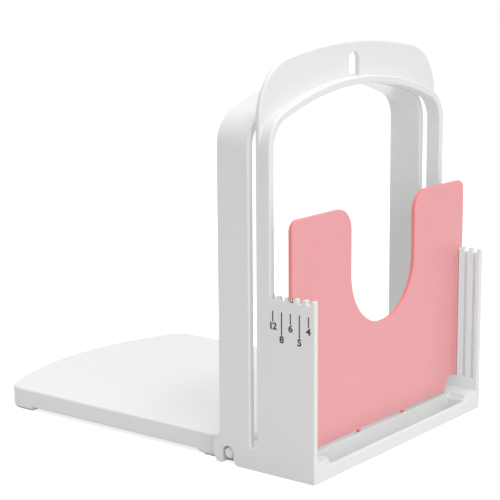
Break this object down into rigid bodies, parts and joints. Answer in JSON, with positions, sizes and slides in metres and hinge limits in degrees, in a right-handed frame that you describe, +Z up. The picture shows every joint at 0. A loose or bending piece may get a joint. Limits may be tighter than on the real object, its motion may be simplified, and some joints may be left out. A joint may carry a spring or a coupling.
{
  "type": "bread slicer guide",
  "caption": "Free-standing bread slicing guide: knife arch over a low base, a board for the loaf that folds up into the arch, and a lift-out plate in side grooves that sets slice thickness.",
  "frame": {"origin": "on the table, under the middle of the guide's bounding box", "axes": "+X runs along the loaf from the board towards the thickness plate, +Y across it to the right side, +Z up"},
  "size_m": [0.2206, 0.152, 0.1968],
  "materials": {
    "white_plastic": "satin moulded plastic",
    "pink_plastic": "satin moulded plastic, pink",
    "pad": "soft off-white elastomer",
    "print": "thin dark grey print"
  },
  "bodies": {
    "frame": {"base_tray": "white_plastic", "rear_arch": "white_plastic", "front_arch": "white_plastic", "left_groove_wall": "white_plastic", "right_groove_wall": "white_plastic", "scale_marks": "print"},
    "board": {"bread_board": "white_plastic", "left_tip_pad": "pad", "right_tip_pad": "pad", "left_hinge_pad": "pad", "right_hinge_pad": "pad"},
    "plate": {"thickness_plate": "pink_plastic"}
  },
  "joints": [
    {"name": "board_fold", "type": "hinge", "parent": "frame", "child": "board", "pos_m": [0.0598, 0, 0.0056], "axis": [0, 1, 0], "range_deg": [0, 90]},
    {"name": "plate_lift", "type": "slide", "parent": "frame", "child": "plate", "axis": [0, 0, 1], "range_m": [0, 0.09]}
  ]
}
